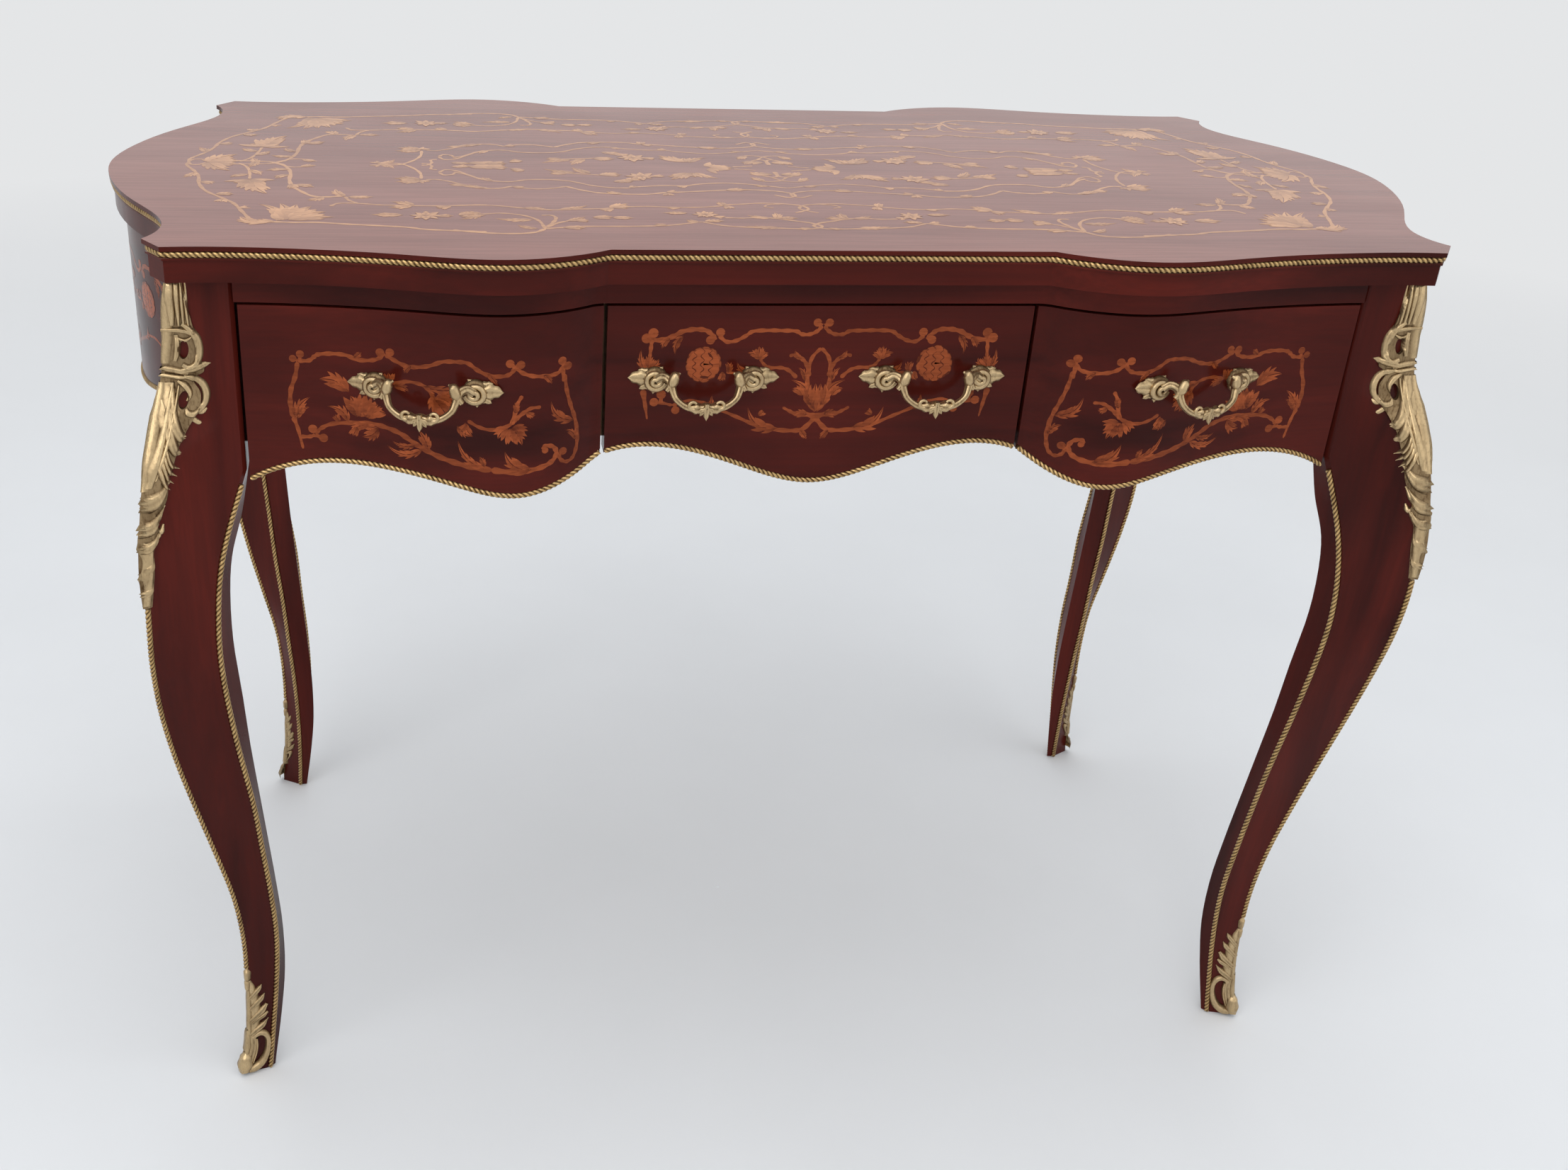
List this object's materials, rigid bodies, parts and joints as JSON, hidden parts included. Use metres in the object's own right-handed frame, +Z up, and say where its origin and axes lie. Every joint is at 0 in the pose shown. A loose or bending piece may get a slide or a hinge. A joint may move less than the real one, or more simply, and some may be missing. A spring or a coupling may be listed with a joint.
{
  "type": "serpentine writing desk",
  "caption": "Flat-topped serpentine writing desk on cabriole legs, with a row of frieze drawers, gilt corner mounts and sabots, rope edging and inlaid foliage.",
  "frame": {"origin": "on the floor under the middle of the desk", "axes": "+Z up, +X to the right of a person facing the drawers, -Y out of the front"},
  "size_m": [1.116, 0.5636, 0.786],
  "materials": {
    "top_wood": "glossy lacquer with marquetry",
    "case_wood": "glossy lacquer",
    "lining_wood": "plain sanded",
    "gilt_mount": "worn gilt casting",
    "gilt_rope": "twisted gilt edging",
    "bolt_brass": "plain turned"
  },
  "bodies": {
    "carcass": {"back_apron": "case_wood", "back_apron_rope_trim": "gilt_rope", "back_left_corner_mount": "gilt_mount", "back_left_leg": "case_wood", "back_left_leg_rope_trim": "gilt_rope", "back_left_sabot": "gilt_mount", "back_right_corner_mount": "gilt_mount", "back_right_leg": "case_wood", "back_right_leg_rope_trim": "gilt_rope", "back_right_sabot": "gilt_mount", "front_left_corner_mount": "gilt_mount", "front_left_leg": "case_wood", "front_left_leg_rope_trim": "gilt_rope", "front_left_sabot": "gilt_mount", "front_rail": "case_wood", "front_right_corner_mount": "gilt_mount", "front_right_leg": "case_wood", "front_right_leg_rope_trim": "gilt_rope", "front_right_sabot": "gilt_mount", "left_center_runner": "lining_wood", "left_divider": "lining_wood", "left_inner_runner": "lining_wood", "left_outer_runner": "lining_wood", "left_side_apron": "case_wood", "left_side_apron_rope_trim": "gilt_rope", "right_center_runner": "lining_wood", "right_divider": "lining_wood", "right_inner_runner": "lining_wood", "right_outer_runner": "lining_wood", "right_side_apron": "case_wood", "right_side_apron_rope_trim": "gilt_rope", "top_board": "top_wood", "top_rope_trim": "gilt_rope"},
    "drawer_left": {"left_drawer_back": "lining_wood", "left_drawer_bolts": "bolt_brass", "left_drawer_bottom": "lining_wood", "left_drawer_front": "case_wood", "left_drawer_handle": "gilt_mount", "left_drawer_left_side": "lining_wood", "left_drawer_right_side": "lining_wood", "left_drawer_rope_trim": "gilt_rope"},
    "drawer_center": {"center_drawer_back": "lining_wood", "center_drawer_bolts": "bolt_brass", "center_drawer_bottom": "lining_wood", "center_drawer_front": "case_wood", "center_drawer_left_handle": "gilt_mount", "center_drawer_left_side": "lining_wood", "center_drawer_right_handle": "gilt_mount", "center_drawer_right_side": "lining_wood", "center_drawer_rope_trim": "gilt_rope"},
    "drawer_right": {"right_drawer_back": "lining_wood", "right_drawer_bolts": "bolt_brass", "right_drawer_bottom": "lining_wood", "right_drawer_front": "case_wood", "right_drawer_handle": "gilt_mount", "right_drawer_left_side": "lining_wood", "right_drawer_right_side": "lining_wood", "right_drawer_rope_trim": "gilt_rope"}
  },
  "joints": [
    {"name": "drawer_left_slide", "type": "slide", "parent": "carcass", "child": "drawer_left", "axis": [0, -1, 0], "range_m": [0, 0.3]},
    {"name": "drawer_center_slide", "type": "slide", "parent": "carcass", "child": "drawer_center", "axis": [0, -1, 0], "range_m": [0, 0.3]},
    {"name": "drawer_right_slide", "type": "slide", "parent": "carcass", "child": "drawer_right", "axis": [0, -1, 0], "range_m": [0, 0.3]}
  ]
}
